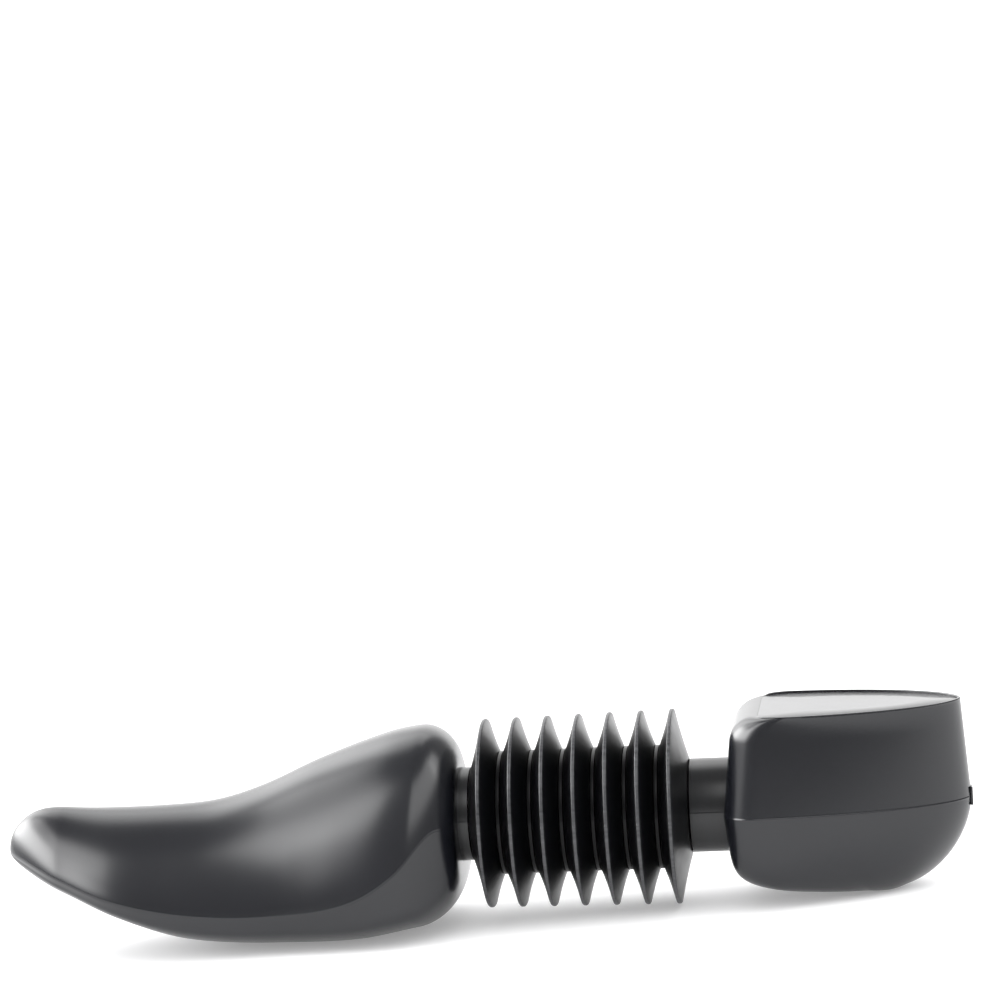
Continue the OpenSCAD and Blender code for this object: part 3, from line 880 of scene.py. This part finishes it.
def lay_floor():
    mesh = bpy.data.meshes.new("floor")
    corners = [(-FLOOR_HALF_W, FLOOR_FRONT, 0), (FLOOR_HALF_W, FLOOR_FRONT, 0),
               (FLOOR_HALF_W, FLOOR_BACK, 0), (-FLOOR_HALF_W, FLOOR_BACK, 0)]
    mesh.from_pydata(corners, [], [(0, 1, 2, 3)])
    floor = bpy.data.objects.new("floor", mesh)
    bpy.context.collection.objects.link(floor)
    finish = Finish("floor", 0.7, 0.0)
    finish.shader.inputs["Base Color"].default_value = FLOOR_TONE
    finish.shader.inputs["Emission Color"].default_value = (1, 1, 1, 1)
    finish.shader.inputs["Emission Strength"].default_value = FLOOR_GLOW
    mesh.materials.append(finish.material)


CAMERA_AZIMUTH = 7.63
CAMERA_ELEVATION = 10.3
CAMERA_ROLL = 6.3
CAMERA_DISTANCE = 1.1
CAMERA_FOCAL = 131.1
SENSOR = 36.0
FRAME_PX = 1000
# Where the photo shows the point that the camera's distance is taken to
AIM = FIRST_CREST + Vector((0.21, 0, -0.69)) * MM
AIM_PX = (490, 815)


def set_camera():
    roll = radians(CAMERA_ROLL)
    back = towards(CAMERA_AZIMUTH, CAMERA_ELEVATION)
    level = (-back).cross(Vector((0, 0, 1))).normalized()
    top = level.cross(-back)
    right = level * cos(roll) - top * sin(roll)
    up = level * sin(roll) + top * cos(roll)
    basis = Matrix((right, up, back)).transposed()
    scale = SENSOR / FRAME_PX / CAMERA_FOCAL
    seen = Vector(((AIM_PX[0] - FRAME_PX / 2) * scale, (FRAME_PX / 2 - AIM_PX[1]) * scale, -1))
    swing = seen.normalized().rotation_difference(Vector((0, 0, -1))).to_matrix()
    data = bpy.data.cameras.new("camera")
    data.lens = CAMERA_FOCAL
    data.sensor_width = SENSOR
    camera = bpy.data.objects.new("camera", data)
    turned = (basis @ swing).to_4x4()
    camera.matrix_world = Matrix.Translation(AIM + back * CAMERA_DISTANCE) @ turned
    bpy.context.collection.objects.link(camera)
    bpy.context.scene.camera = camera


# Lights, each far off: where its middle stands (azimuth and elevation), its half width and half
# height, its soft edges across and upwards, all in degrees, then its brightness
SOFTBOXES = {
    "front overhead": (50, 46, 50, 16, 10, 10, 2.9),
    "right strip": (103, 44, 14, 10, 8, 6, 3.0),
    "back wall": (-165, 22, 37, 24, 14, 14, 1.55),
    "back shelf": (-165, 55, 37, 12, 14, 14, 2.2),
    "left wall": (-76, 37, 37, 22, 10, 8, 3.3),
    "left window": (-90, 24, 38, 13, 14, 10, 9.0),
    "near window": (-52, 44, 13, 9, 10, 8, 3.0),
}
# Round lights: middle, the radius of the bright part, the radius where it ends, and brightness
ROUND_LIGHTS = {
    "left back": (-124, 32, 14, 38, 3.0),
}
# The room's own light in reflections, and the share of it that is missing below the horizon
ROOM_LIGHT = 0.5
BELOW_DARKER = 0.6
# Dull surfaces get this share of the lights and an even fill, and the camera sees an even wall
FILL_SHARE = 0.12
FILL_LIGHT = 1.9
SEEN_LIGHT = 1.3


class Sky(Nodes):
    """A studio of far softboxes, painted on the world by direction."""

    def __init__(self):
        self.world = bpy.data.worlds.new("studio")
        self.world.use_nodes = True
        # Its light is gathered by bounced rays only, so that fill and reflections can differ
        self.world.cycles.sampling_method = "NONE"
        super().__init__(self.world.node_tree)
        self.direction = self.add("ShaderNodeTexCoord").outputs["Generated"]

    def along(self, axis):
        node = self.add("ShaderNodeVectorMath", {"operation": "DOT_PRODUCT"})
        self.feed(node.inputs[0], self.direction)
        self.feed(node.inputs[1], axis)
        return node.outputs["Value"]

    def fade(self, value, start, end):
        """1 up to start, softly down to 0 at end."""
        return self.add("ShaderNodeMapRange", {"interpolation_type": "SMOOTHSTEP"}, Value=value,
                        From_Min=start, From_Max=end, To_Min=1.0, To_Max=0.0).outputs[0]

    def softbox(self, azimuth, elevation, wide, high, soft_across, soft_up, brightness):
        turn = self.math("ARCTAN2", self.along(towards(azimuth + 90, 0)),
                         self.along(towards(azimuth, 0)))
        rise = self.math("ARCSINE", self.along((0, 0, 1)))
        shown = brightness
        for angle, middle, half, soft in ((turn, 0, wide, soft_across),
                                          (rise, elevation, high, soft_up)):
            away = self.math("ABSOLUTE", self.math("SUBTRACT", angle, radians(middle)))
            edge = self.fade(away, radians(half - soft / 2), radians(half + soft / 2))
            shown = self.math("MULTIPLY", shown, edge)
        return shown

    def round_light(self, azimuth, elevation, inner, outer, brightness):
        away = self.math("ARCCOSINE", self.along(towards(azimuth, elevation)))
        return self.math("MULTIPLY", self.fade(away, radians(inner), radians(outer)), brightness)

    def finish(self, room, boxes):
        below = self.fade(self.along((0, 0, 1)), -0.02, 0.02)
        level = self.math("MULTIPLY_ADD", below, -BELOW_DARKER * room, room)
        for box in boxes:
            level = self.math("ADD", level, box)
        rays = self.add("ShaderNodeLightPath").outputs
        fill = self.math("MULTIPLY_ADD", level, FILL_SHARE, FILL_LIGHT)
        for ray, own in (("Is Diffuse Ray", fill), ("Is Camera Ray", SEEN_LIGHT)):
            level = self.add("ShaderNodeMix", Factor=rays[ray], A=level, B=own).outputs[0]
        back = self.nodes["Background"]
        back.inputs["Color"].default_value = (1, 1, 1, 1)
        self.feed(back.inputs["Strength"], level)
        bpy.context.scene.world = self.world


def light_studio():
    sky = Sky()
    sky.finish(ROOM_LIGHT, [sky.softbox(*values) for values in SOFTBOXES.values()]
               + [sky.round_light(*values) for values in ROUND_LIGHTS.values()])
    bpy.context.scene.view_settings.view_transform = "Standard"


lay_floor()
set_camera()
light_studio()
